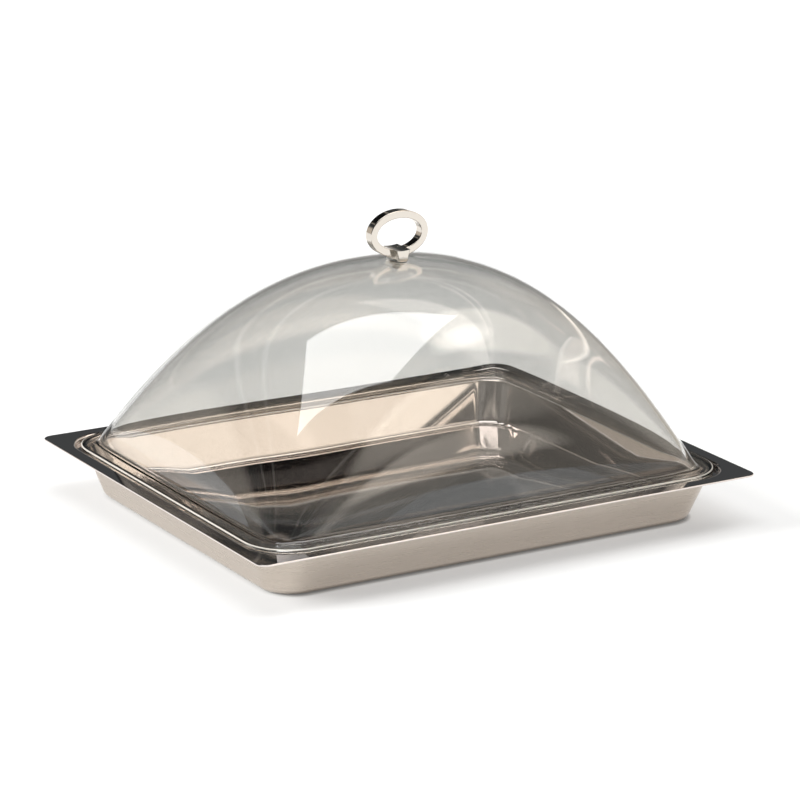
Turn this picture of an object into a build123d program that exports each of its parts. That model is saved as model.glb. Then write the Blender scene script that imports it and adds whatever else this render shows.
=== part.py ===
from build123d import *
import math
import os

# Covered display tray: a shallow pressed steel tray under a clear dome that lifts off by a ring.
# Millimetres and degrees, +Z up, X along the long side. The origin is the middle of the underside.

# Tray, one pressed sheet
TRAY_LENGTH = 325.0
TRAY_WIDTH = 265.0
TRAY_HEIGHT = 30.0
SHEET = 1.0
FLANGE_WIDTH = 9.3
FLANGE_CORNER = 6.0
SEAT_DEPTH = 3.2
SEAT_CORNER = 23.0
LEDGE_WIDTH = 6.0
MOUTH_CORNER = 20.0
WALL_DRAFT = 18.0
FLOOR_CORNER = 18.0
SHEET_BEND = 0.8
FLOOR_BEND = 4.0

# Cover, one clear moulding that stands on the ledge inside the flange
COVER_CLEARANCE = 0.3
COVER_CORNER = 28.0
LIP_HEIGHT = 4.2
LIP_WIDTH = 3.2
RIM_WIDTH = 10.0
COVER_WALL = 2.5
COVER_EDGE = 0.6
DOME_RISE = 116.0
DOME_SQUARENESS = 2.2
DOME_FULLNESS = 0.525
DOME_FOOT_LEVEL = 0.006
DOME_FOOT_RADIUS = 3.0
DOME_FOOT_INNER_RADIUS = 1.8
DOME_PAD_LENGTH = 22.0
DOME_SECTIONS = 10
SECTION_STEPS = 8

# Handle, an oval ring standing in a saddle on top of the dome
RING_LENGTH = 38.0
RING_HEIGHT = 27.0
RING_BAND = 4.4
RING_DEPTH = 6.0
RING_EDGE = 0.4
RING_LIFT = 1.9
POST_FOOT_LENGTH = 5.4
POST_HEAD_LENGTH = 9.0
POST_DEPTH = 15.0
POST_EDGE = 0.5
POST_HORN = 0.5
GASKET_THICKNESS = 0.5

# Fixings inside the dome
SCREW_DIAMETER = 3.0
SCREW_BITE = 3.0
SCREW_HEAD_DIAMETER = 5.6
SCREW_HEAD_HEIGHT = 1.8
SCREW_HEAD_EDGE = 0.5
SOCKET_SIZE = 2.0
SOCKET_DEPTH = 1.1
TIP_GAP = 0.3
THREAD_GAP = 0.05
HOLE_CLEARANCE = 0.2
BACKING_WASHER_DIAMETER = 9.0
BACKING_WASHER_THICKNESS = 0.8
SPRING_WASHER_DIAMETER = 6.0
SPRING_WASHER_THICKNESS = 0.8
SPRING_WASHER_SPLIT = 0.6

# Levels worked out from the sizes above
LEDGE_Z = TRAY_HEIGHT - SEAT_DEPTH
RIM_TOP_Z = LEDGE_Z + LIP_HEIGHT
RIM_UNDER_Z = RIM_TOP_Z - COVER_WALL
DOME_TOP_Z = RIM_TOP_Z + DOME_RISE
DOME_INNER_Z = DOME_TOP_Z - COVER_WALL
POST_FOOT_Z = DOME_TOP_Z + GASKET_THICKNESS
RING_UNDER_Z = POST_FOOT_Z + RING_LIFT
RING_INNER_Z = RING_UNDER_Z + RING_BAND
RING_CENTRE_Z = RING_UNDER_Z + RING_HEIGHT / 2
BACKING_WASHER_Z = DOME_INNER_Z - BACKING_WASHER_THICKNESS
SPRING_WASHER_Z = BACKING_WASHER_Z - SPRING_WASHER_THICKNESS

# Distances in from the flange's outer edge
MOUTH_INSET = FLANGE_WIDTH + LEDGE_WIDTH
COVER_INSET = FLANGE_WIDTH + SHEET_BEND + COVER_CLEARANCE
DOME_INSET = COVER_INSET + RIM_WIDTH
SCREW_HOLE_RADIUS = SCREW_DIAMETER / 2 + HOLE_CLEARANCE


def outline(inset, corner, z):
    """Rounded rectangle at height z, a given distance in from the flange's outer edge."""
    return Pos(0, 0, z) * RectangleRounded(TRAY_LENGTH - 2 * inset, TRAY_WIDTH - 2 * inset, corner)


def pan_solid(floor_z, skin, bend):
    """The space inside the pan's walls, or inside their outer faces when skin is the sheet."""
    draft = math.radians(WALL_DRAFT)
    mouth_inset = MOUTH_INSET - skin / math.cos(draft)
    floor_inset = mouth_inset + (LEDGE_Z - floor_z) * math.tan(draft)
    floor = outline(floor_inset, FLOOR_CORNER + skin, floor_z)
    mouth = outline(mouth_inset, MOUTH_CORNER + skin, LEDGE_Z)
    body = loft([floor, mouth], ruled=True)
    return fillet(body.edges().group_by(Axis.Z)[0], bend)


def seat_solid(skin, bend):
    """The space above the ledge, or the block around it when skin is the sheet."""
    block = extrude(outline(FLANGE_WIDTH - skin, SEAT_CORNER + skin, LEDGE_Z - skin), SEAT_DEPTH + skin)
    return fillet(block.edges().group_by(Axis.Z)[0], bend)


def level_face(body, z, up):
    """The flat face of a body at height z that looks up (up is 1) or down (up is -1)."""
    height_error = 1e-4
    least_cosine = 0.99

    def matches(face):
        return abs(face.center().Z - z) < height_error and face.normal_at().Z * up > least_cosine
    return body.faces().filter_by(GeomType.PLANE).filter_by(matches)[0]


def make_tray():
    """Flange, seat step, ledge, sloping walls and floor, bent out of one sheet."""
    tray = extrude(outline(0, FLANGE_CORNER, TRAY_HEIGHT), -SHEET)
    tray += seat_solid(SHEET, SHEET_BEND + SHEET)
    tray += pan_solid(0, SHEET, FLOOR_BEND + SHEET)
    tray -= seat_solid(0, SHEET_BEND)
    tray -= pan_solid(SHEET, 0, FLOOR_BEND)
    bends = [
        (TRAY_HEIGHT, 1, SHEET_BEND + SHEET),
        (LEDGE_Z, 1, SHEET_BEND + SHEET),
        (TRAY_HEIGHT - SHEET, -1, SHEET_BEND),
        (LEDGE_Z - SHEET, -1, SHEET_BEND),
    ]
    for z, up, radius in bends:
        inner_edge = level_face(tray, z, up).inner_wires()[0]
        tray = fillet(inner_edge.edges(), radius)
    return tray


def dome_section(half_length, half_width, level, z):
    """One level of the dome, level m from the foot's small value up to 1 at the top.

    Each quarter is x = a (1 - m^s)^(1/p), y = b (1 - m^(1-s))^(1/p) with s from 0 to 1:
    a rectangle with tight corners near the foot, an oval near the top.
    """
    quarter = []
    for step in range(SECTION_STEPS + 1):
        s = math.sin(math.pi / 2 * step / SECTION_STEPS) ** 2
        x_part = (1 - level ** s) / (1 - DOME_FOOT_LEVEL)
        y_part = (1 - level ** (1 - s)) / (1 - DOME_FOOT_LEVEL)
        x = half_length * x_part ** (1 / DOME_SQUARENESS)
        y = half_width * y_part ** (1 / DOME_SQUARENESS)
        quarter.append((x, y))
    sides = []
    for sx, sy in ((1, 1), (-1, 1), (-1, -1), (1, -1)):
        points = [(sx * x, sy * y) for x, y in quarter]
        sides.append(Spline(*points, tangents=((sx, 0), (0, -sy))))
    return Pos(0, 0, z) * make_face(sides)


def dome_solid(shrink, top_z):
    """The dome's outer form, or its hollow when it shrinks by the wall; flat on top for the post."""
    half_length = TRAY_LENGTH / 2 - DOME_INSET - shrink
    half_width = TRAY_WIDTH / 2 - DOME_INSET - shrink
    pad_share = DOME_PAD_LENGTH / 2 / half_length
    top_level = 1 - (1 - DOME_FOOT_LEVEL) * pad_share ** DOME_SQUARENESS
    foot_height = DOME_FOOT_LEVEL ** DOME_FULLNESS
    top_height = top_level ** DOME_FULLNESS
    foot_angle = math.asin(math.sqrt(DOME_FOOT_LEVEL))
    top_angle = math.asin(math.sqrt(top_level))
    sections = []
    for step in range(DOME_SECTIONS):
        angle = foot_angle + (top_angle - foot_angle) * step / (DOME_SECTIONS - 1)
        level = math.sin(angle) ** 2
        height = (level ** DOME_FULLNESS - foot_height) / (top_height - foot_height)
        z = RIM_TOP_Z + (top_z - RIM_TOP_Z) * height
        sections.append(dome_section(half_length, half_width, level, z))
    return loft(sections)


def make_cover():
    """Dome and flat rim of one wall, with a lip turned down to the ledge and a hole for the screw."""
    cover = extrude(outline(COVER_INSET, COVER_CORNER, LEDGE_Z), LIP_HEIGHT)
    cover = fillet(level_face(cover, RIM_TOP_Z, 1).edges(), COVER_EDGE)
    cover = fillet(level_face(cover, LEDGE_Z, -1).edges(), COVER_EDGE)
    cover += dome_solid(0, DOME_TOP_Z)
    cover = fillet(level_face(cover, RIM_TOP_Z, 1).inner_wires()[0].edges(), DOME_FOOT_RADIUS)
    under = outline(COVER_INSET + LIP_WIDTH, COVER_CORNER - LIP_WIDTH, LEDGE_Z)
    cover -= extrude(under, LIP_HEIGHT - COVER_WALL)
    hollow = dome_solid(COVER_WALL, DOME_INNER_Z)
    cover -= hollow
    cover -= extrude(level_face(hollow, RIM_TOP_Z, -1), COVER_WALL)
    cover = fillet(level_face(cover, RIM_UNDER_Z, -1).inner_wires()[0].edges(), DOME_FOOT_INNER_RADIUS)
    return cover - screw_hole(SCREW_HOLE_RADIUS)


def screw_hole(radius):
    """A long round bar on the screw's axis, from inside the dome up to the screw's end in the ring."""
    length = RING_UNDER_Z + SCREW_BITE - SPRING_WASHER_Z
    return Pos(0, 0, SPRING_WASHER_Z) * extrude(Circle(radius), length)


def ring_oval(shrink):
    """The ring's outer oval, or its inner one when it shrinks by the band, in the XZ plane."""
    oval = Ellipse(RING_LENGTH / 2 - shrink, RING_HEIGHT / 2 - shrink)
    return Pos(0, 0, RING_CENTRE_Z) * (Plane.XZ * oval)


def ring_bar():
    """The plain ring, before its edges are eased."""
    return extrude(ring_oval(0) - ring_oval(RING_BAND), RING_DEPTH / 2, both=True)


def make_handle_ring():
    """Oval ring with eased edges and a blind hole below for the screw."""
    ring = ring_bar()
    ring = fillet(ring.edges().filter_by(GeomType.ELLIPSE), RING_EDGE)
    return ring - screw_hole(SCREW_DIAMETER / 2 + THREAD_GAP)


def post_rectangle(length, z):
    """The post's section at height z."""
    return Pos(0, 0, z) * RectangleRounded(length, POST_DEPTH, POST_EDGE)


def make_handle_post():
    """Saddle that widens upwards, hollowed on top to the ring's inner curve, with the ring let in."""
    head_z = RING_INNER_Z + POST_HORN
    foot = post_rectangle(POST_FOOT_LENGTH, POST_FOOT_Z)
    post = loft([foot, post_rectangle(POST_HEAD_LENGTH, head_z)], ruled=True)
    post -= extrude(ring_oval(RING_BAND), POST_DEPTH, both=True)
    post -= ring_bar()
    return post - screw_hole(SCREW_HOLE_RADIUS)


def make_post_gasket():
    """Clear pad of the post's own footprint, between post and dome."""
    pad = extrude(post_rectangle(POST_FOOT_LENGTH, DOME_TOP_Z), GASKET_THICKNESS)
    return pad - screw_hole(SCREW_HOLE_RADIUS)


def washer(diameter, thickness, z):
    """Flat ring on the screw's axis with its underside at z."""
    return Pos(0, 0, z) * extrude(Circle(diameter / 2) - Circle(SCREW_HOLE_RADIUS), thickness)


def make_backing_washer():
    """Wide flat washer against the inside of the dome."""
    return washer(BACKING_WASHER_DIAMETER, BACKING_WASHER_THICKNESS, BACKING_WASHER_Z)


def make_spring_washer():
    """Split washer, pressed flat, between the flat washer and the screw's head."""
    split = Box(SPRING_WASHER_DIAMETER, SPRING_WASHER_SPLIT, 2 * SPRING_WASHER_THICKNESS)
    whole = washer(SPRING_WASHER_DIAMETER, SPRING_WASHER_THICKNESS, SPRING_WASHER_Z)
    middle_z = SPRING_WASHER_Z + SPRING_WASHER_THICKNESS / 2
    return whole - Pos(SPRING_WASHER_DIAMETER / 2, 0, middle_z) * split


def make_handle_screw():
    """Domed head with a hexagon socket, and a shank that reaches up into the ring."""
    under_z = SPRING_WASHER_Z - SCREW_HEAD_HEIGHT
    head = Pos(0, 0, under_z) * extrude(Circle(SCREW_HEAD_DIAMETER / 2), SCREW_HEAD_HEIGHT)
    head = fillet(head.edges().group_by(Axis.Z)[0], SCREW_HEAD_EDGE)
    socket = RegularPolygon(SOCKET_SIZE / 2, 6, major_radius=False)
    head -= Pos(0, 0, under_z) * extrude(socket, SOCKET_DEPTH)
    shank_length = RING_UNDER_Z + SCREW_BITE - TIP_GAP - SPRING_WASHER_Z
    shank = Pos(0, 0, SPRING_WASHER_Z) * extrude(Circle(SCREW_DIAMETER / 2), shank_length)
    return head + shank


PIECES = {
    "tray": make_tray,
    "cover": make_cover,
    "handle_ring": make_handle_ring,
    "handle_post": make_handle_post,
    "post_gasket": make_post_gasket,
    "backing_washer": make_backing_washer,
    "spring_washer": make_spring_washer,
    "handle_screw": make_handle_screw,
}

os.makedirs("parts", exist_ok=True)
for name, make in PIECES.items():
    export_step(make(), f"parts/{name}.step")
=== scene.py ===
import math

import bpy
import numpy as np
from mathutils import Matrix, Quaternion, Vector


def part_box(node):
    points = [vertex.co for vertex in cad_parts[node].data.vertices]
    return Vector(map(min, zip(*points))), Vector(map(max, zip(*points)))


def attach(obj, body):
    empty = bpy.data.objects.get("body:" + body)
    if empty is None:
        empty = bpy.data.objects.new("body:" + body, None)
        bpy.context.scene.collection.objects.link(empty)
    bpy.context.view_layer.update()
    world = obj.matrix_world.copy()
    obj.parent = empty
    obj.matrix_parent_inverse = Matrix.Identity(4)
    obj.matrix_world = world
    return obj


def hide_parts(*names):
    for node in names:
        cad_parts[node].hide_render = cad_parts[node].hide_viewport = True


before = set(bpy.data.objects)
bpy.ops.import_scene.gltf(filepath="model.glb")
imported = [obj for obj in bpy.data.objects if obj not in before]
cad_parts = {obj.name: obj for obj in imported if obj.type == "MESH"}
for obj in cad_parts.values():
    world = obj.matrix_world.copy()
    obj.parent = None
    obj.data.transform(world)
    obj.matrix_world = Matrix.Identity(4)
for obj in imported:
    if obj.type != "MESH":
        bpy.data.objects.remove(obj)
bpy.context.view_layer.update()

# Tray: one stainless sheet, pressed into a flat flange, a step that seats the cover, sloping
# walls and a flat floor. The upper side is polished to a mirror and the outside left satin.
# It stands on its own floor, and nothing is fixed to it.

MM = 0.001
SHEET = 1.0 * MM
FLANGE_WIDTH = 9.3 * MM
FLANGE_CORNER = 6.0 * MM
SEAT_DEPTH = 3.2 * MM
SEAT_CORNER = 23.0 * MM
LEDGE_WIDTH = 6.0 * MM
MOUTH_CORNER = 20.0 * MM
FLOOR_CORNER = 18.0 * MM
WALL_DRAFT = math.radians(18.0)
SHEET_BEND = 0.8 * MM
FLOOR_BEND = 4.0 * MM
EDGE_EASE = 0.22 * MM
FLOOR_RING = 3.2 * MM
BEND_STEPS = 8
FLOOR_STEPS = 16
EDGE_STEPS = 3
CORNER_STEPS = 24
HOLD = 0.08 * MM
SHORT_STRETCH = 6 * HOLD

tray_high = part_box("tray")[1]
flange_z = tray_high.z
ledge_z = flange_z - SEAT_DEPTH


def arc(centre, radius, start, stop, steps=BEND_STEPS):
    """Points (inset, z) round a bend: angles in degrees from straight down, turning outwards."""
    angle = np.radians(np.linspace(start, stop, steps + 1))
    return np.stack([centre[0] - radius * np.sin(angle), centre[1] - radius * np.cos(angle)], 1)


def held(points):
    """The profile with an extra point HOLD in from both ends of each straight stretch.

    A short stretch stays as it is. The flat between the two extra points keeps its own shading
    right up to the bends.
    """
    step = np.diff(points, axis=0)
    length = np.linalg.norm(step, axis=1, keepdims=True)
    nudge = HOLD * step / length
    rows = np.stack([points[:-1], points[:-1] + nudge, points[1:] - nudge], 1)
    keep = np.repeat(length > SHORT_STRETCH, 3, 1)
    keep[:, 0] = True
    return np.concatenate([rows[keep], points[-1:]])


def rounded_rectangle(half_x, half_y, corner):
    """Closed outlines, one row for each size: four quarter arcs joined by straight sides."""
    half_x, half_y, corner = half_x[:, None], half_y[:, None], corner[:, None]
    turn = np.linspace(0, math.pi / 2, CORNER_STEPS + 1)
    x = half_x - corner + corner * np.cos(turn)
    y = half_y - corner + corner * np.sin(turn)
    return (np.concatenate([x, -x[:, ::-1], -x, x[:, ::-1]], 1),
            np.concatenate([y, y[:, ::-1], -y, -y[:, ::-1]], 1))


def ring_mesh(name, rings, joined, materials, ring_material=0):
    """A mesh from rings of points, each closed on itself and joined to the next one.

    The last ring joins the first where joined is true; otherwise each end closes on its middle.
    ring_material numbers the material of the faces after each ring, or of all faces.
    """
    count, around = rings.shape[:2]
    index = np.arange(count * around).reshape(count, around)
    rows = np.concatenate([index, index[:1]]) if joined else index
    here, there = rows[:-1], rows[1:]
    quads = np.stack([here, there, np.roll(there, -1, 1), np.roll(here, -1, 1)], -1)
    points = rings.reshape(-1, 3)
    faces = quads.reshape(-1, 4).tolist()
    marks = np.repeat(np.broadcast_to(ring_material, len(here)), around)
    if not joined:
        points = np.concatenate([points, rings[[0, -1]].mean(1)])
        first, last = index[0], index[-1]
        ends = np.full((2, around), [[count * around], [count * around + 1]])
        faces += np.stack([np.roll(first, -1), ends[0], first], 1).tolist()
        faces += np.stack([last, ends[1], np.roll(last, -1)], 1).tolist()
        marks = np.concatenate([marks, np.repeat(marks[[0, -1]], around)])
    mesh = bpy.data.meshes.new(name)
    mesh.from_pydata(points.tolist(), [], faces)
    for material in materials:
        mesh.materials.append(material)
    mesh.polygons.foreach_set("material_index", marks.astype(np.int32))
    mesh.polygons.foreach_set("use_smooth", np.ones(len(faces), bool))
    mesh.update()
    piece = bpy.data.objects.new(name, mesh)
    bpy.context.scene.collection.objects.link(piece)
    return piece


def linear(colour):
    """An sRGB hex colour as linear red, green and blue, with a full alpha."""
    parts = np.array([int(colour[i:i + 2], 16) for i in (1, 3, 5)]) / 255
    shown = np.where(parts <= 0.04045, parts / 12.92, ((parts + 0.055) / 1.055) ** 2.4)
    return (*shown.tolist(), 1.0)


def add_node(tree, kind, inputs=None, **settings):
    """Adds a node with its settings; an input is a value, another node's output or a whole node.

    A whole node stands for its first output that is in use. An input is named, or numbered
    where a node has several of the same name.
    """
    made = tree.nodes.new(kind)
    for name, value in settings.items():
        setattr(made, name, value)
    for name, value in (inputs or {}).items():
        used = [s for s in made.inputs if s.enabled]
        socket = used[name] if isinstance(name, int) else next(s for s in used if s.name == name)
        if isinstance(value, bpy.types.Node):
            value = next(s for s in value.outputs if s.enabled)
        if isinstance(value, bpy.types.NodeSocket):
            tree.links.new(value, socket)
        else:
            socket.default_value = value
    return made


def new_material(name):
    """An empty node material and its tree."""
    material = bpy.data.materials.new(name)
    material.use_nodes = True
    material.node_tree.nodes.clear()
    return material, material.node_tree


# Buffed stainless: a mirror whose sheet is not quite flat, so long reflections waver, and whose
# gloss is dulled here and there by wiping.
POLISHED_STEEL = "#E0D8D4"
SHEET_WAVE = 46.0 * MM
SHEET_WAVE_HEIGHT = 0.03 * MM
WIPE_MARK = 30.0 * MM

polished_steel, tree = new_material("stainless_steel_mirror_buffed")
place = add_node(tree, "ShaderNodeTexCoord").outputs["Object"]
wave = add_node(tree, "ShaderNodeTexNoise", {
    "Vector": place, "Scale": 1 / SHEET_WAVE, "Detail": 1.0, "Roughness": 0.4})
wipe = add_node(tree, "ShaderNodeTexNoise", {
    "Vector": place, "Scale": 1 / WIPE_MARK, "Detail": 2.0, "Roughness": 0.5})
gloss = add_node(tree, "ShaderNodeMapRange", {
    "Value": wipe, "From Min": 0.3, "From Max": 0.75, "To Min": 0.03, "To Max": 0.06})
bump = add_node(tree, "ShaderNodeBump", {
    "Height": wave, "Strength": 1.0, "Distance": SHEET_WAVE_HEIGHT})
shader = add_node(tree, "ShaderNodeBsdfPrincipled", {
    "Base Color": linear(POLISHED_STEEL), "Metallic": 1.0, "Roughness": gloss, "Normal": bump})
add_node(tree, "ShaderNodeOutputMaterial", {"Surface": shader})

# Satin stainless: a fine grain rolled along the sheet, which draws highlights up and down the wall.
# The real grain is under 0.1 mm wide; it is drawn at 0.5 mm so that it shows.
SATIN_STEEL = "#DACFC5"
SATIN_STEEL_DEEP = "#CCC2B6"
GRAIN_WIDTH = 0.5 * MM
GRAIN_LENGTH = 38.0 * MM
GRAIN_DEPTH = 0.02 * MM

satin_steel, tree = new_material("stainless_steel_satin_rolled")
place = add_node(tree, "ShaderNodeTexCoord").outputs["Object"]
stretched = add_node(tree, "ShaderNodeMapping", {
    "Vector": place, "Scale": (1 / GRAIN_LENGTH, 1 / GRAIN_LENGTH, 1 / GRAIN_WIDTH)})
grain = add_node(tree, "ShaderNodeTexNoise", {
    "Vector": stretched, "Scale": 1.0, "Detail": 3.0, "Roughness": 0.55})
tone = add_node(tree, "ShaderNodeMix", {
    "Factor": grain, "A": linear(SATIN_STEEL_DEEP), "B": linear(SATIN_STEEL)}, data_type="RGBA")
gloss = add_node(tree, "ShaderNodeMapRange", {
    "Value": grain, "From Min": 0.25, "From Max": 0.75, "To Min": 0.24, "To Max": 0.36})
bump = add_node(tree, "ShaderNodeBump", {
    "Height": grain, "Strength": 0.25, "Distance": GRAIN_DEPTH})
shader = add_node(tree, "ShaderNodeBsdfPrincipled", {
    "Base Color": tone, "Metallic": 1.0, "Roughness": gloss, "Normal": bump})
add_node(tree, "ShaderNodeOutputMaterial", {"Surface": shader})


def wall_point(z):
    """The point (inset, z) on the upper side of the sloping wall."""
    return np.array([FLANGE_WIDTH + LEDGE_WIDTH + (ledge_z - z) * math.tan(WALL_DRAFT), z])


# Middles of the four bends, as (inset, z), shared by the sheet's two sides: each lies square to
# the faces that it joins, as far off as its radius on the upper side.
across_wall = np.array([math.cos(WALL_DRAFT), math.sin(WALL_DRAFT)])
outer_bend = SHEET_BEND + SHEET
floor_middle = wall_point(SHEET + FLOOR_BEND * (1 - across_wall[1])) + FLOOR_BEND * across_wall
mouth_middle = wall_point(ledge_z - outer_bend * (1 - across_wall[1])) - outer_bend * across_wall
seat_middle = np.array([FLANGE_WIDTH + SHEET_BEND, ledge_z + SHEET_BEND])
flange_middle = np.array([FLANGE_WIDTH - outer_bend, flange_z - outer_bend])


def tray_side(skin):
    """One side of the sheet from the floor out to the flange: skin is 0 above, the sheet below.

    Each bend keeps its middle, and its radius grows or shrinks by the skin.
    """
    lean = 90 - math.degrees(WALL_DRAFT)
    return held(np.concatenate([
        [[floor_middle[0] + FLOOR_RING, SHEET - skin]],
        arc(floor_middle, FLOOR_BEND + skin, 0, lean, FLOOR_STEPS),
        arc(mouth_middle, outer_bend - skin, 180 + lean, 180),
        arc(seat_middle, SHEET_BEND + skin, 0, 90),
        arc(flange_middle, outer_bend - skin, 270, 180),
        [[EDGE_EASE, flange_z - skin]],
    ]))


def tray_corner(inset, z):
    """The corner radius at each profile point.

    It follows the seat's step and the mouth's edge at a constant distance, shrinks evenly down
    the wall from the mouth's corner to the floor's, and across the flange to its small corner.
    """
    wall_inset = wall_point(z)[0]
    drop = np.clip((ledge_z - z) / (ledge_z - SHEET), 0, 1)
    wall = MOUTH_CORNER + (FLOOR_CORNER - MOUTH_CORNER) * drop + wall_inset - inset
    mouth = MOUTH_CORNER + FLANGE_WIDTH + LEDGE_WIDTH - inset
    seat = SEAT_CORNER + FLANGE_WIDTH - inset
    inner = SEAT_CORNER + FLANGE_WIDTH - flange_middle[0]
    flange = FLANGE_CORNER + (inner - FLANGE_CORNER) * np.clip(inset / flange_middle[0], 0, 1)
    corner = np.where(z < mouth_middle[1], wall, mouth)
    corner = np.where(inset < (seat_middle[0] + mouth_middle[0]) / 2, seat, corner)
    return np.where(inset <= flange_middle[0], flange, corner)


upper = tray_side(0)
lower = tray_side(SHEET)
edge = np.concatenate([
    arc((EDGE_EASE, flange_z - EDGE_EASE), EDGE_EASE, 180, 90, EDGE_STEPS),
    arc((EDGE_EASE, flange_z - SHEET + EDGE_EASE), EDGE_EASE, 90, 0, EDGE_STEPS),
])
inset, z = np.concatenate([upper[:-1], edge, lower[-2::-1]]).T
x, y = rounded_rectangle(tray_high.x - inset, tray_high.y - inset, tray_corner(inset, z))
rings = np.stack([x, y, np.broadcast_to(z[:, None], x.shape)], -1)
satin = np.arange(len(rings) - 1) >= len(upper) + len(edge) - 2
tray = ring_mesh("tray_pressed_sheet", rings, False, [polished_steel, satin_steel], satin)
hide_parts("tray")
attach(tray, "base")

# Cover: one injection moulding of clear polycarbonate. A cushion-shaped dome stands on a flat rim,
# and the rim's lip turns down to the tray's ledge. It lies loose in the seat, with a hole on top
# for the handle's screw.

COVER_WALL = 2.5 * MM
COVER_CORNER = 28.0 * MM
COVER_EDGE = 0.6 * MM
LIP_WIDTH = 3.2 * MM
LIP_HEIGHT = 4.2 * MM
LIP_EDGE = 0.4 * MM
LIP_STEPS = 5
RIM_WIDTH = 10.0 * MM
DOME_SQUARENESS = 2.2
DOME_FULLNESS = 0.525
DOME_FOOT_LEVEL = 0.006
DOME_FOOT_RADIUS = 3.0 * MM
DOME_FOOT_INNER_RADIUS = 1.8 * MM
DOME_PAD = 11.0 * MM
SCREW_HOLE = 1.7 * MM
DOME_STEPS = 64
QUARTER_STEPS = 64

cover_low, cover_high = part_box("cover")
lip_z = cover_low.z
rim_z = lip_z + LIP_HEIGHT
rim_under_z = rim_z - COVER_WALL
dome_top_z = cover_high.z
dome_half = np.array([cover_high.x, cover_high.y]) - RIM_WIDTH


def dome_outline(level, half):
    """Sections of the dome at levels m, from the foot's level up to 1.

    A quarter is x = a (1 - m^s)^(1/p), y = b (1 - m^(1-s))^(1/p) over a scale that makes the foot
    reach a and b: nearly a rectangle at the foot, an oval near the top. s is sin squared of an
    even turn, which starts at +Y and goes round by -X.
    """
    turn = np.arange(4 * QUARTER_STEPS) * (math.pi / 2 / QUARTER_STEPS)
    share = np.sin(turn) ** 2
    reach = (1 - np.stack([level ** share, level ** (1 - share)], -1)) / (1 - DOME_FOOT_LEVEL)
    side = np.stack([-np.sign(np.sin(turn)), np.sign(np.cos(turn))], -1)
    return half * side * reach ** (1 / DOME_SQUARENESS)


def pad_level(half):
    """The level m at which the dome's section is as long as the flat pad under the handle."""
    return 1 - (1 - DOME_FOOT_LEVEL) * (DOME_PAD / half[0]) ** DOME_SQUARENESS


def dome_level(z, half, top_z):
    """The level m at a height: its q-th power grows evenly from the foot to the pad."""
    share = (z - rim_z) / (top_z - rim_z)
    foot, top = DOME_FOOT_LEVEL ** DOME_FULLNESS, pad_level(half) ** DOME_FULLNESS
    return (foot + (top - foot) * share) ** (1 / DOME_FULLNESS)


def dome_rings(half, top_z, low_z):
    """The dome's face from its pad down to the heights low_z, one for each point round it.

    Steps are even in the root of one minus m, so that the top's flat crown is not crowded.
    """
    top = math.sqrt(1 - pad_level(half))
    low = np.sqrt(1 - dome_level(low_z, half, top_z))
    step = np.linspace(0, 1, DOME_STEPS)[:, None]
    level = 1 - (top + (low - top) * step) ** 2
    foot, crown = DOME_FOOT_LEVEL ** DOME_FULLNESS, pad_level(half) ** DOME_FULLNESS
    z = rim_z + (top_z - rim_z) * (level ** DOME_FULLNESS - foot) / (crown - foot)
    return np.concatenate([dome_outline(level, half), z[..., None]], -1)


def outwards(outline):
    """Unit directions square to a closed outline that runs anticlockwise, away from its middle."""
    along = np.roll(outline, -1, 0) - np.roll(outline, 1, 0)
    square = np.stack([along[:, 1], -along[:, 0]], 1)
    return square / np.linalg.norm(square, axis=1, keepdims=True)


def flat_rings(flat, z):
    """Rings of points from their places in plan and a height, or several, for each ring."""
    return np.concatenate([flat, np.broadcast_to(z, flat.shape[:2])[..., None]], -1)


def rim_rings(inset, z):
    """Rings on the rim's rounded rectangle, at distances in from its edge.

    Each point lies straight out from the dome's foot, or on the line from the corner's centre.
    """
    foot = dome_outline(DOME_FOOT_LEVEL, dome_half)
    centre = np.array([cover_high.x, cover_high.y]) - COVER_CORNER
    past = np.maximum(np.abs(foot) - centre, 0)
    past = past / np.linalg.norm(past, axis=1, keepdims=True)
    reach = COVER_CORNER - inset[:, None, None]
    flat = np.sign(foot) * (np.minimum(np.abs(foot), centre) + past * reach)
    return flat_rings(flat, z[:, None])


def hole_rings(z):
    """The screw hole's edge and a ring HOLD outside it, with points in line with the dome's."""
    pad = dome_outline(pad_level(dome_half), dome_half)
    radius = np.array([SCREW_HOLE, SCREW_HOLE + HOLD])[:, None, None]
    return flat_rings(radius * pad / np.linalg.norm(pad, axis=1, keepdims=True), z)


# The bend at the dome's foot is an arc that touches the rim and the wall. The wall leans in by an
# angle that differs round the foot, so the arc's reach out, and where it starts, do too.
foot = dome_outline(DOME_FOOT_LEVEL, dome_half)
foot_square = outwards(foot)
above = dome_outline(dome_level(rim_z + DOME_FOOT_RADIUS / 2, dome_half, dome_top_z), dome_half)
lean = np.arctan2(((foot - above) * foot_square).sum(1), DOME_FOOT_RADIUS / 2)
reach = DOME_FOOT_RADIUS * np.tan(math.pi / 4 - lean / 2)
bend_start_z = rim_z + DOME_FOOT_RADIUS * (1 - np.sin(lean))
outer_dome = dome_rings(dome_half, dome_top_z, bend_start_z)
step = np.linspace(0, 1, BEND_STEPS + 1)[:, None]
turn = lean + (math.pi / 2 - lean) * step
arc_flat = foot + (reach - DOME_FOOT_RADIUS * np.cos(turn))[..., None] * foot_square
arc_flat += (1 - step[..., None]) ** 2 * (outer_dome[-1, :, :2] - arc_flat[0])
outer_foot = flat_rings(arc_flat, rim_z + DOME_FOOT_RADIUS * (1 - np.sin(turn)))

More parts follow.
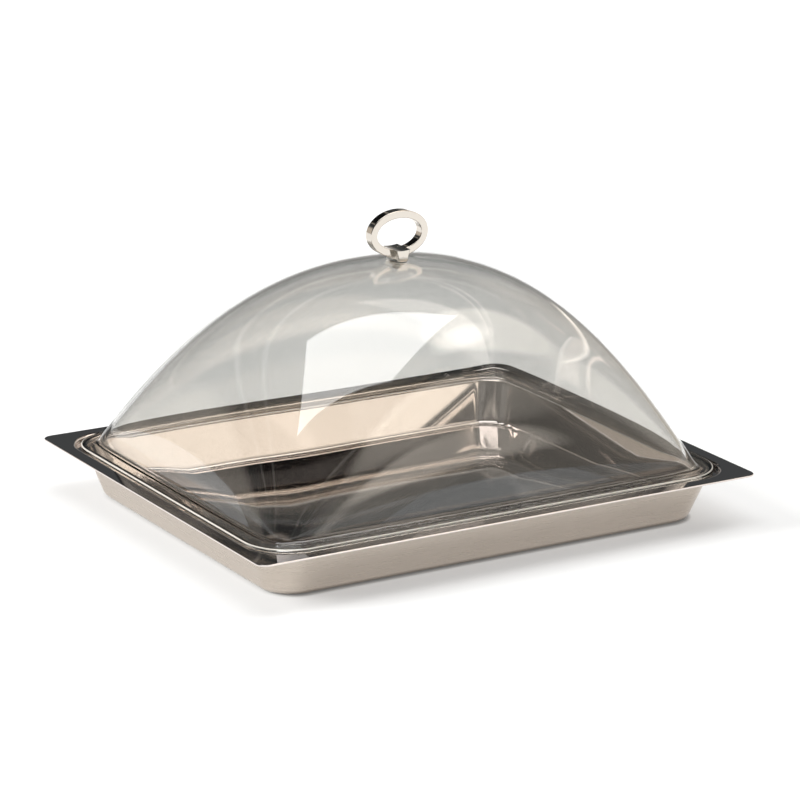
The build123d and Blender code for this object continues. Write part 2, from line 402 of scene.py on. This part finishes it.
inner_half = dome_half - COVER_WALL
inner_top_z = dome_top_z - COVER_WALL
inner = dome_outline(DOME_FOOT_LEVEL, inner_half)
turn = np.linspace(math.pi / 2, 0, BEND_STEPS + 1)[:, None]
inner_flat = inner + (DOME_FOOT_INNER_RADIUS * (1 - np.cos(turn)))[..., None] * outwards(inner)
inner_foot = flat_rings(inner_flat, rim_under_z + DOME_FOOT_INNER_RADIUS * (1 - np.sin(turn)))

# The lip's profile, from the rim's upper flat round to its underside. Its first and last points lie
# on the flats, a little clear of the bends.
lip = held(np.concatenate([
    [[RIM_WIDTH - DOME_FOOT_RADIUS - 2 * COVER_EDGE, rim_z]],
    arc((COVER_EDGE, rim_z - COVER_EDGE), COVER_EDGE, 180, 90, LIP_STEPS),
    arc((COVER_EDGE, lip_z + COVER_EDGE), COVER_EDGE, 90, 0, LIP_STEPS),
    arc((LIP_WIDTH - LIP_EDGE, lip_z + LIP_EDGE), LIP_EDGE, 0, -90, LIP_STEPS),
    arc((LIP_WIDTH + LIP_EDGE, rim_under_z - LIP_EDGE), LIP_EDGE, 90, 180, LIP_STEPS),
    [[LIP_WIDTH + 3 * LIP_EDGE, rim_under_z]],
]))
above_lip = np.concatenate([hole_rings(dome_top_z), outer_dome, outer_foot[1:]])
rings = np.concatenate([
    above_lip,
    rim_rings(*lip.T),
    inner_foot,
    dome_rings(inner_half, inner_top_z, np.full(4 * QUARTER_STEPS, rim_z))[::-1],
    hole_rings(inner_top_z)[::-1],
])

# Clear polycarbonate, glossy from a polished mould, with a trace of grey in its wall. Handling
# leaves a film that is uneven over a few centimetres and barely dulls it. Lamps shine through it.
CLEAR_PLASTIC = "#E2E2E0"
HANDLING_FILM = 25.0 * MM
LAMP_SHARE = "#F3F3F1"


def moulded_plastic(name, colour, glossy, dull, clearness):
    """Polycarbonate whose roughness goes from glossy to dull with the handling film.

    Clearness is the share of the light that goes through, and the rest scatters. Lamps shine
    straight through.
    """
    material, tree = new_material(name)
    place = add_node(tree, "ShaderNodeTexCoord").outputs["Object"]
    film = add_node(tree, "ShaderNodeTexNoise", {
        "Vector": place, "Scale": 1 / HANDLING_FILM, "Detail": 3.0, "Roughness": 0.5})
    gloss = add_node(tree, "ShaderNodeMapRange", {
        "Value": film, "From Min": 0.35, "From Max": 0.75, "To Min": glossy, "To Max": dull})
    shader = add_node(tree, "ShaderNodeBsdfPrincipled", {
        "Base Color": linear(colour), "Roughness": gloss, "IOR": 1.58,
        "Transmission Weight": clearness})
    lamps = add_node(tree, "ShaderNodeBsdfTransparent", {"Color": linear(LAMP_SHARE)})
    path = add_node(tree, "ShaderNodeLightPath")
    both = add_node(tree, "ShaderNodeMath", {
        0: path.outputs["Is Shadow Ray"], 1: path.outputs["Is Diffuse Ray"]}, operation="MAXIMUM")
    surface = add_node(tree, "ShaderNodeMixShader", {0: both, 1: shader, 2: lamps})
    add_node(tree, "ShaderNodeOutputMaterial", {"Surface": surface})
    return material


# Sight lines cross the rim and its lip several times, off the ledge and back. Each crossing takes
# the tint again, so their tint is lighter than the wall's. Light that runs inside the moulding
# comes out at the lip's rounded upper edge; that bright line is painted as a pale, milky plastic.
CLEAR_RIM = "#F8F5F0"
PAINTED_HIGHLIGHT_EDGE = "#F6F0E6"

clear_plastic = moulded_plastic("polycarbonate_clear_moulded", CLEAR_PLASTIC, 0.0, 0.03, 1.0)
clear_rim = moulded_plastic("polycarbonate_clear_rim", CLEAR_RIM, 0.02, 0.06, 1.0)
# The lip's upper edge gets a pale scattering plastic: a painted highlight, not the clear plastic's
# own look.
painted_highlight_edge = moulded_plastic("polycarbonate_edge_painted_highlight", PAINTED_HIGHLIGHT_EDGE, 0.1, 0.2, 0.4)

# Faces of the rim and lip take the rim's plastic, and those on the lip's upper edge the pale one,
# a painted highlight.
on_painted_highlight = (lip[:, 0] < COVER_EDGE + HOLD / 2) & (lip[:, 1] > rim_z - COVER_EDGE - HOLD / 2)
cover_faces = np.zeros(len(rings), int)
rim_faces = slice(len(above_lip) - 1, len(above_lip) + len(lip))
cover_faces[rim_faces] = np.concatenate([[1], np.where(on_painted_highlight[:-1] & on_painted_highlight[1:], 2, 1), [1]])
plastics = [clear_plastic, clear_rim, painted_highlight_edge]
cover = ring_mesh("cover_clear_dome", rings, True, plastics, cover_faces)
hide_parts("cover")
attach(cover, "lid")

# Gasket: a stamped pad of clear silicone under the post, so that metal does not press on plastic.
# It is soft and slightly cloudy.
SILICONE = "#E8E8E2"
SILICONE_CLOUD = 1.5 * MM

clear_silicone, tree = new_material("silicone_clear_stamped")
place = add_node(tree, "ShaderNodeTexCoord").outputs["Object"]
cloud = add_node(tree, "ShaderNodeTexNoise", {
    "Vector": place, "Scale": 1 / SILICONE_CLOUD, "Detail": 3.0})
gloss = add_node(tree, "ShaderNodeMapRange", {"Value": cloud, "To Min": 0.3, "To Max": 0.5})
shader = add_node(tree, "ShaderNodeBsdfPrincipled", {
    "Base Color": linear(SILICONE), "Roughness": gloss, "IOR": 1.41, "Transmission Weight": 0.8})
add_node(tree, "ShaderNodeOutputMaterial", {"Surface": shader})


def dress(node, material):
    """Gives a node of the frame its finish."""
    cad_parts[node].data.materials.clear()
    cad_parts[node].data.materials.append(material)


dress("post_gasket", clear_silicone)

# Post: a small saddle cast in zinc, buffed and nickel plated, that widens upwards and holds the
# ring's foot. The screw passes through it.

# Nickel plate: a warm white mirror with the faint haze of a buffing wheel.
NICKEL = "#D6CFC6"
BUFF_MARK = 3.0 * MM

bright_nickel, tree = new_material("nickel_plate_buffed")
place = add_node(tree, "ShaderNodeTexCoord").outputs["Object"]
buff = add_node(tree, "ShaderNodeTexNoise", {
    "Vector": place, "Scale": 1 / BUFF_MARK, "Detail": 4.0})
gloss = add_node(tree, "ShaderNodeMapRange", {
    "Value": buff, "From Min": 0.3, "From Max": 0.7, "To Min": 0.03, "To Max": 0.08})
shader = add_node(tree, "ShaderNodeBsdfPrincipled", {
    "Base Color": linear(NICKEL), "Metallic": 1.0, "Roughness": gloss})
add_node(tree, "ShaderNodeOutputMaterial", {"Surface": shader})

dress("handle_post", bright_nickel)

# Ring: an oval band bent from flat brass bar, with eased edges, buffed and plated like the post.
# It stands in the post's saddle, and the screw pulls it down from below.

RING_BAND = 4.4 * MM
RING_EDGE = 0.4 * MM
RING_EDGE_STEPS = 5
RING_STEPS = 160

ring_low, ring_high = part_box("handle_ring")
ring_middle = (ring_low + ring_high) / 2
ring_half = (ring_high - ring_low) / 2


def band_section():
    """The band's section as (distance in from the outer oval, y): a rectangle with eased edges."""
    turn = np.linspace(0, math.pi / 2, RING_EDGE_STEPS + 1) + np.arange(4)[:, None] * math.pi / 2
    side = np.array([[1, 1], [-1, 1], [-1, -1], [1, -1]])[:, None]
    half = np.array([RING_BAND / 2, ring_half.y])
    corners = side * (half - RING_EDGE) + RING_EDGE * np.stack([np.cos(turn), np.sin(turn)], -1)
    loop = (corners + [RING_BAND / 2, 0]).reshape(-1, 2)
    return held(np.concatenate([loop, loop[:1]]))[:-1]


inset, depth = band_section()[::-1].T[:, :, None]
turn = np.linspace(0, 2 * math.pi, RING_STEPS, endpoint=False)
rings = np.stack([
    ring_middle.x + (ring_half.x - inset) * np.cos(turn),
    np.broadcast_to(ring_middle.y + depth, (len(depth), RING_STEPS)),
    ring_middle.z + (ring_half.z - inset) * np.sin(turn)], -1)
ring = ring_mesh("handle_ring_band", rings, True, [bright_nickel])
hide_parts("handle_ring")
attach(ring, "lid")

# Fixings inside the dome: a wide flat washer, a split washer and a socket-head screw up into the
# ring. They are stamped or turned from stainless, and turning leaves fine rings round the axis.
# The wave texture repeats every WAVE_PERIOD before it is scaled.
FIXING_STEEL = "#C9C5BF"
TURNING_PITCH = 0.35 * MM
TURNING_DEPTH = 0.01 * MM
WAVE_PERIOD = 2 * math.pi / 20

turned_steel, tree = new_material("stainless_steel_turned")
place = add_node(tree, "ShaderNodeTexCoord").outputs["Object"]
turning = add_node(tree, "ShaderNodeTexWave", {
    "Vector": place, "Scale": WAVE_PERIOD / TURNING_PITCH, "Distortion": 0.4},
    wave_type="RINGS", rings_direction="Z")
gloss = add_node(tree, "ShaderNodeMapRange", {"Value": turning, "To Min": 0.2, "To Max": 0.34})
bump = add_node(tree, "ShaderNodeBump", {
    "Height": turning, "Strength": 0.4, "Distance": TURNING_DEPTH})
shader = add_node(tree, "ShaderNodeBsdfPrincipled", {
    "Base Color": linear(FIXING_STEEL), "Metallic": 1.0, "Roughness": gloss, "Normal": bump})
add_node(tree, "ShaderNodeOutputMaterial", {"Surface": shader})
for fixing in ("backing_washer", "spring_washer", "handle_screw"):
    dress(fixing, turned_steel)

# Studio: a white table top, a softbox overhead in line with the camera, a small one to its right,
# and a dim room above the table's edge with brighter places in it.

# The table glows a little to the eye, more so far out. Where the tray comes within the contact
# reach on the side that the low skylight comes from, behind and left, the glow fades out: a painted
# contact shadow along the tray's foot.
TABLE_RADIUS = 9.0
TABLE_GAP = 0.2 * MM
TABLE_STEPS = 96
TABLE_WHITE = "#BCBCBB"
TABLE_GLOW = (0.43, 0.62)
TABLE_GLOW_REACH = (0.25, 1.2)
PAINTED_SHADOW_REACH = 3.0 * MM
PAINTED_SHADOW_LEAN = {"X": -0.6, "Y": 0.5, "Z": 0.62}

table_white, tree = new_material("table_white")
path = add_node(tree, "ShaderNodeLightPath")
seen = add_node(tree, "ShaderNodeMath", {
    0: path.outputs["Is Camera Ray"], 1: path.outputs["Is Glossy Ray"]}, operation="MAXIMUM")
seen = add_node(tree, "ShaderNodeMath", {
    0: seen, 1: path.outputs["Is Transmission Ray"]}, operation="MAXIMUM")
place = add_node(tree, "ShaderNodeTexCoord").outputs["Object"]
away = add_node(tree, "ShaderNodeVectorMath", {0: place}, operation="LENGTH").outputs["Value"]
spread = add_node(tree, "ShaderNodeMapRange", {
    "Value": away, "From Min": TABLE_GLOW_REACH[0], "From Max": TABLE_GLOW_REACH[1],
    "To Min": TABLE_GLOW[0], "To Max": TABLE_GLOW[1]})
glow = add_node(tree, "ShaderNodeMath", {0: seen, 1: spread}, operation="MULTIPLY")
# Painted contact shadow: occlusion leaned to the back and left dims the table's glow near the tray.
lean = add_node(tree, "ShaderNodeCombineXYZ", PAINTED_SHADOW_LEAN)
painted_contact_shadow = add_node(tree, "ShaderNodeAmbientOcclusion", {"Distance": PAINTED_SHADOW_REACH, "Normal": lean})
glow = add_node(tree, "ShaderNodeMath", {0: glow, 1: painted_contact_shadow.outputs["AO"]}, operation="MULTIPLY")
shader = add_node(tree, "ShaderNodeBsdfPrincipled", {
    "Base Color": linear(TABLE_WHITE), "Roughness": 1.0, "Specular IOR Level": 0.0,
    "Emission Color": (1, 1, 1, 1), "Emission Strength": glow})
add_node(tree, "ShaderNodeOutputMaterial", {"Surface": shader})

turn = np.linspace(0, 2 * math.pi, TABLE_STEPS, endpoint=False)
flat = np.stack([np.cos(turn), np.sin(turn), 0 * turn], 1) * TABLE_RADIUS - [0, 0, TABLE_GAP]
mesh = bpy.data.meshes.new("table_top")
mesh.from_pydata(flat.tolist(), [], [list(range(TABLE_STEPS))])
mesh.materials.append(table_white)
table = bpy.data.objects.new("table_top", mesh)
bpy.context.scene.collection.objects.link(table)

# The room falls from a pale horizon to a dim slate and a black ceiling. Thin pale lines run round
# it, each with its elevation and about half its width in degrees. Brighter areas fade out softly:
# each has its azimuth, its elevation, the angles from its middle at which it starts to fade and is
# gone, and its level. A thin bright strip runs straight between two directions. Seen straight or
# through the clear cover, and not in a mirror, the room is a plain white backdrop.
HORIZON = "#A3A19E"
ROOM = "#484B4D"
CEILING = "#141516"
HORIZON_RISE = (math.sin(math.radians(3.0)), math.sin(math.radians(14.0)))
CEILING_RISE = (math.sin(math.radians(19.0)), math.sin(math.radians(32.0)))
PALE_LINE = "#A09C97"
PALE_LINES = np.radians([[10.5, 1.0], [28.0, 1.4], [40.0, 1.4]])
DAYLIGHT = "#FFF5E8"
BRIGHT_AREAS = (
    (-146, 3, 10, 20, 0.66),  # pale wall behind on the left
    (100, 16, 14, 38, 0.6),  # dim corner on the right
    (52, 4, 20, 46, 0.8),  # low wall on the right
    (70, 24, 8, 18, 1.6),  # lighter part of the low wall
    (31, 33, 9, 15, 1.6),  # window in front
    (29, 14.4, 5, 8.5, 2.4),  # lit doorway in front
    (78, 52, 11, 16, 2.0),  # window above the low wall
)
STRIP_ENDS = ((128, 10), (75, 36))
STRIP_HALF = 0.75
STRIP_FADE = (24, 34)
STRIP_LEVEL = 3.0
BACKDROP = "#FFFFFF"

world = bpy.data.worlds.new("studio_room")
bpy.context.scene.world = world
world.use_nodes = True
tree = world.node_tree
tree.nodes.clear()
place = add_node(tree, "ShaderNodeTexCoord").outputs["Generated"]
height = add_node(tree, "ShaderNodeSeparateXYZ", {"Vector": place}).outputs["Z"]
room = linear(HORIZON)
for (low, high), shade in ((HORIZON_RISE, ROOM), (CEILING_RISE, CEILING)):
    rise = add_node(tree, "ShaderNodeMapRange", {
        "Value": height, "From Min": low, "From Max": high}, interpolation_type="SMOOTHSTEP")
    room = add_node(tree, "ShaderNodeMix", {
        "Factor": rise, "A": room, "B": linear(shade)}, data_type="RGBA")
for elevation, half in PALE_LINES.tolist():
    off = add_node(tree, "ShaderNodeMath", {
        0: height, 1: math.sin(elevation)}, operation="SUBTRACT")
    off = add_node(tree, "ShaderNodeMath", {0: off}, operation="ABSOLUTE")
    line = add_node(tree, "ShaderNodeMapRange", {
        "Value": off, "From Min": half, "From Max": 0.0}, interpolation_type="SMOOTHSTEP")
    room = add_node(tree, "ShaderNodeMix", {
        "Factor": line, "A": room, "B": linear(PALE_LINE)}, data_type="RGBA")


def direction(azimuth, elevation):
    """The unit vector towards an azimuth, from the front and turning right, and an elevation."""
    azimuth, elevation = np.radians([azimuth, elevation])
    out = np.cos(elevation)
    return Vector((out * np.sin(azimuth), -out * np.cos(azimuth), np.sin(elevation)))


def fading(towards, full, gone):
    """A factor that is one near a direction and fades between two angles from it, in degrees."""
    facing = add_node(tree, "ShaderNodeVectorMath", {0: place, 1: towards}, operation="DOT_PRODUCT")
    return add_node(tree, "ShaderNodeMapRange", {
        "Value": facing.outputs["Value"], "From Min": math.cos(math.radians(gone)),
        "From Max": math.cos(math.radians(full))}, interpolation_type="SMOOTHSTEP")


for azimuth, elevation, full, gone, level in BRIGHT_AREAS:
    bright = fading(direction(azimuth, elevation), full, gone)
    room = add_node(tree, "ShaderNodeMix", {
        "Factor": bright, "A": room, "B": np.multiply(linear(DAYLIGHT), level)}, data_type="RGBA")
ends = [direction(*end) for end in STRIP_ENDS]
near = fading((ends[0] + ends[1]).normalized(), *STRIP_FADE)
off = add_node(tree, "ShaderNodeVectorMath", {
    0: place, 1: ends[0].cross(ends[1]).normalized()}, operation="DOT_PRODUCT")
off = add_node(tree, "ShaderNodeMath", {0: off.outputs["Value"]}, operation="ABSOLUTE")
strip = add_node(tree, "ShaderNodeMapRange", {
    "Value": off, "From Min": math.radians(STRIP_HALF), "From Max": 0.0, "To Max": near},
    interpolation_type="SMOOTHSTEP")
room = add_node(tree, "ShaderNodeMix", {
    "Factor": strip, "A": room, "B": np.multiply(linear(DAYLIGHT), STRIP_LEVEL)}, data_type="RGBA")
path = add_node(tree, "ShaderNodeLightPath")
seen = add_node(tree, "ShaderNodeMath", {
    0: path.outputs["Is Camera Ray"], 1: path.outputs["Is Transmission Ray"]}, operation="MAXIMUM")
direct = add_node(tree, "ShaderNodeMath", {
    0: path.outputs["Glossy Depth"], 1: 0.5}, operation="LESS_THAN")
backdrop = add_node(tree, "ShaderNodeMath", {0: seen, 1: direct}, operation="MULTIPLY")
room = add_node(tree, "ShaderNodeMix", {
    "Factor": backdrop, "A": room, "B": linear(BACKDROP)}, data_type="RGBA")
shader = add_node(tree, "ShaderNodeBackground", {"Color": room})
add_node(tree, "ShaderNodeOutputWorld", {"Surface": shader})
world.cycles_visibility.diffuse = False

# The camera stands where the photograph was taken from, left of the front and a little above, with
# a long lens and a slight roll. The softboxes are turned square to it.
CAMERA_PLACE = Vector((-1.0879, -1.7983, 0.6961))
CAMERA_AIM = Vector((-0.00896, -0.01985, 0.070))
CAMERA_LENS = 171.33
CAMERA_SENSOR = 36.0
CAMERA_ROLL = math.radians(0.568)
LAMP_MIDDLE = (0.5, 0.5, 0.0)


def softbox(name, place, size, brightness, colour, fade):
    """A rectangular lamp at place that faces straight down, turned square to the camera.

    It is bright out to the first distance in fade and dark past the second, in parts of its size.
    """
    lamp = bpy.data.lights.new(name, "AREA")
    lamp.shape = "RECTANGLE"
    lamp.size, lamp.size_y = size
    lamp.energy = brightness * math.pi * size[0] * size[1]
    lamp.color = linear(colour)[:3]
    lamp.use_nodes = True
    tree = lamp.node_tree
    tree.nodes.clear()
    across = add_node(tree, "ShaderNodeNewGeometry").outputs["Parametric"]
    out = add_node(tree, "ShaderNodeVectorMath", {0: across, 1: LAMP_MIDDLE}, operation="DISTANCE")
    level = add_node(tree, "ShaderNodeMapRange", {
        "Value": out.outputs["Value"], "From Min": fade[1], "From Max": fade[0]},
        interpolation_type="SMOOTHSTEP")
    shader = add_node(tree, "ShaderNodeEmission", {"Strength": level})
    add_node(tree, "ShaderNodeOutputLight", {"Surface": shader})
    made = bpy.data.objects.new(name, lamp)
    made.location = place
    made.rotation_euler.z = math.atan2(CAMERA_PLACE.x, -CAMERA_PLACE.y)
    made.visible_camera = False
    bpy.context.scene.collection.objects.link(made)


softbox(
    "softbox_overhead", place=(-0.023, -0.086, 1.3), size=(1.23, 0.83), brightness=3.8,
    colour="#FFFFFF", fade=(0.8, 0.9))
softbox(
    "softbox_side", place=(0.726, -0.404, 1.3), size=(0.36, 0.57), brightness=2.3,
    colour="#FFF9F0", fade=(0.2, 0.55))

# Two wide soft lights, one low from behind on the left and one high from the right, shape the
# table's shadow and show in no reflection. Each has the way its light travels, and its strength.
SKYLIGHT_WIDTH = math.radians(40.0)
SKYLIGHTS = (
    ("skylight_left", (0.776, -0.469, -0.423), 5.0),
    ("skylight_right", (-0.557, -0.137, -0.819), 1.3),
)

for name, travel, energy in SKYLIGHTS:
    sun = bpy.data.objects.new(name, bpy.data.lights.new(name, "SUN"))
    sun.data.energy = energy
    sun.data.angle = SKYLIGHT_WIDTH
    sun.rotation_mode = "QUATERNION"
    sun.rotation_quaternion = Vector(travel).to_track_quat("-Z", "Y")
    sun.visible_glossy = False
    sun.visible_transmission = False
    bpy.context.scene.collection.objects.link(sun)

camera = bpy.data.objects.new("camera", bpy.data.cameras.new("camera"))
camera.location = CAMERA_PLACE
camera.rotation_mode = "QUATERNION"
looking = (CAMERA_AIM - CAMERA_PLACE).to_track_quat("-Z", "Y")
camera.rotation_quaternion = looking @ Quaternion((0, 0, 1), CAMERA_ROLL)
camera.data.lens = CAMERA_LENS
camera.data.sensor_width = CAMERA_SENSOR
bpy.context.scene.collection.objects.link(camera)
bpy.context.scene.camera = camera
bpy.context.scene.view_settings.view_transform = "Standard"
